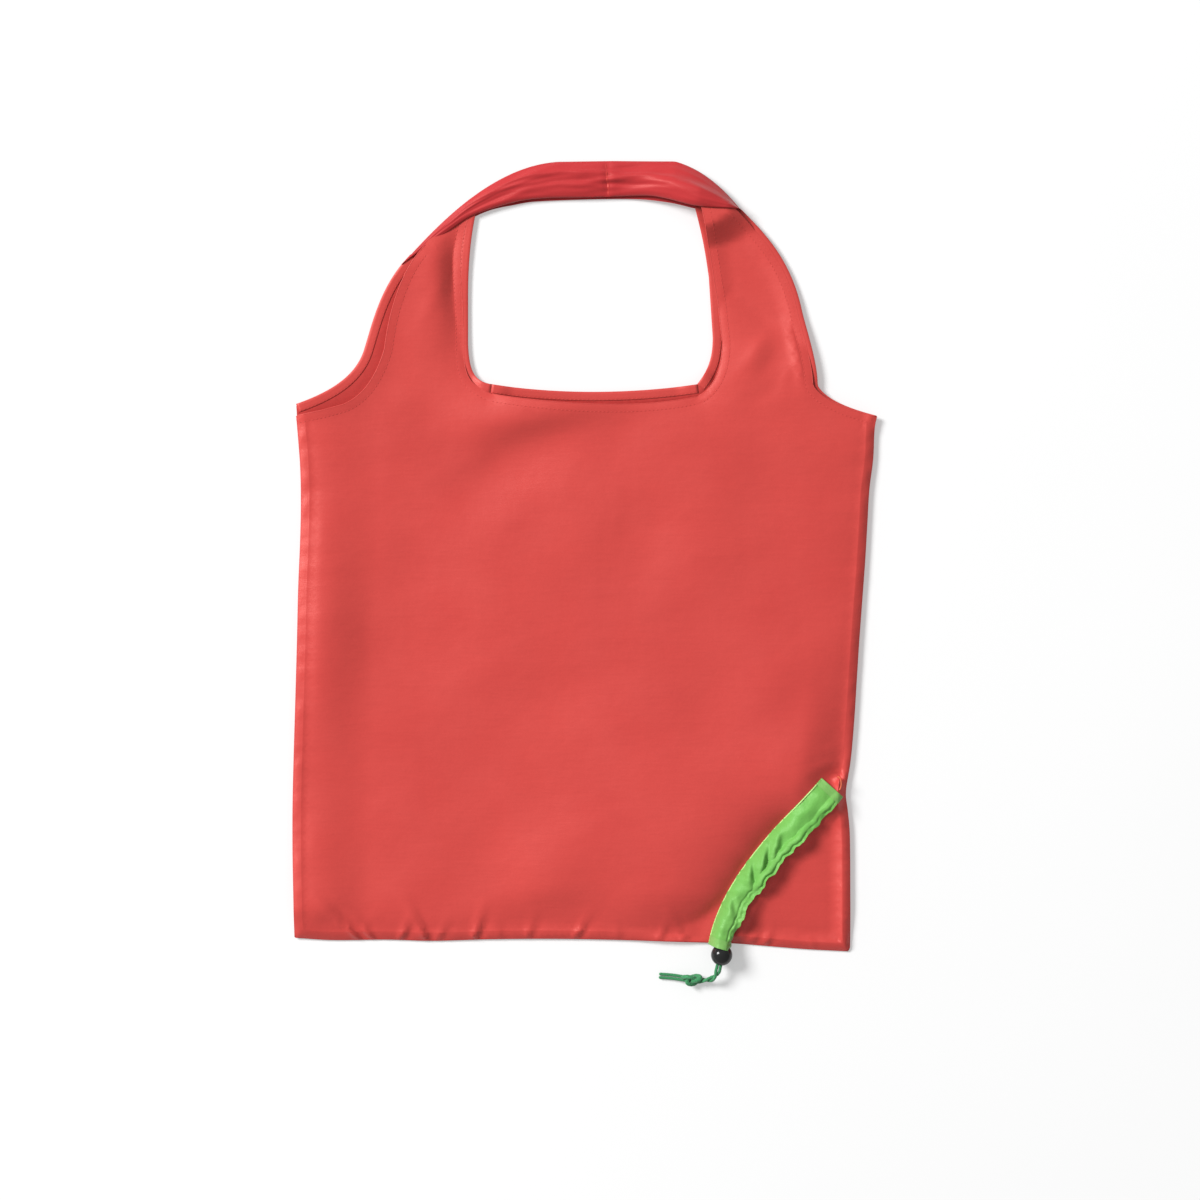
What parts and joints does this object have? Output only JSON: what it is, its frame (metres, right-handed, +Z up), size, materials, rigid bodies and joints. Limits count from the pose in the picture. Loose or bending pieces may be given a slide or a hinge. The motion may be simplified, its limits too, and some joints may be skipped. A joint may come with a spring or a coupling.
{
  "type": "foldable tote bag",
  "caption": "Thin cloth shopping bag with vest-style handles that folds up and stuffs into its own corner, closed by a drawcord with a ball stopper.",
  "frame": {"origin": "middle of the bag, handles included, on the plane it lies on", "axes": "+X across the bag to the right as seen from above, +Y from the bottom edge towards the handles, +Z up from the back panel to the front panel"},
  "size_m": [0.382, 0.5401, 0.0163],
  "materials": {
    "bag_cloth": "satin",
    "hem_cloth": "satin",
    "channel_cloth": "satin",
    "channel_hem": "satin",
    "braided_cord": "matte",
    "stopper": "gloss"
  },
  "bodies": {
    "lower_body": {"back_panel_lower": "bag_cloth", "front_panel_lower": "bag_cloth", "left_seam_lower": "hem_cloth", "right_seam_lower": "hem_cloth", "bottom_seam": "hem_cloth", "back_channel": "channel_cloth", "front_channel": "channel_cloth", "channel_hem_top": "channel_hem", "channel_hem_end": "channel_hem", "cord_run_back": "braided_cord", "cord_run_front": "braided_cord", "side_loop": "hem_cloth"},
    "upper_body": {"back_panel_upper": "bag_cloth", "front_panel_upper": "bag_cloth", "left_seam_upper": "hem_cloth", "right_seam_upper": "hem_cloth", "back_mouth_hem": "hem_cloth", "front_mouth_hem": "hem_cloth"},
    "front_handle": {"front_strap_left": "bag_cloth", "front_strap_right": "bag_cloth", "front_grip_left": "bag_cloth", "front_grip_right": "bag_cloth", "front_grip_seam": "hem_cloth", "front_hand_hem_left": "hem_cloth", "front_hand_hem_right": "hem_cloth", "front_arm_hem_left": "hem_cloth", "front_arm_hem_right": "hem_cloth"},
    "back_handle": {"back_strap_left": "bag_cloth", "back_strap_right": "bag_cloth", "back_grip_left": "bag_cloth", "back_grip_right": "bag_cloth", "back_grip_seam": "hem_cloth", "back_hand_hem_left": "hem_cloth", "back_hand_hem_right": "hem_cloth", "back_arm_hem_left": "hem_cloth", "back_arm_hem_right": "hem_cloth"},
    "stopper": {"ball_stopper": "stopper"},
    "cord_end": {"cord_end_a": "braided_cord", "cord_end_b": "braided_cord", "cord_knot": "braided_cord"}
  },
  "joints": [
    {"name": "body_fold", "type": "hinge", "parent": "lower_body", "child": "upper_body", "pos_m": [0, -0.115, 0.0082], "axis": [1, 0, 0], "range_deg": [0, 160]},
    {"name": "front_handle_fold", "type": "hinge", "parent": "upper_body", "child": "front_handle", "pos_m": [0, 0.113, 0.0092], "axis": [1, 0, 0], "range_deg": [0, 175]},
    {"name": "back_handle_fold", "type": "hinge", "parent": "upper_body", "child": "back_handle", "pos_m": [0, 0.113, -0.001], "axis": [1, 0, 0], "range_deg": [-175, 0]},
    {"name": "stopper_slide", "type": "slide", "parent": "lower_body", "child": "stopper", "axis": [-0.2419, -0.9703, 0], "range_m": [0, 0.004]},
    {"name": "cord_pull", "type": "slide", "parent": "lower_body", "child": "cord_end", "axis": [-0.2419, -0.9703, 0], "range_m": [0, 0.015]}
  ]
}
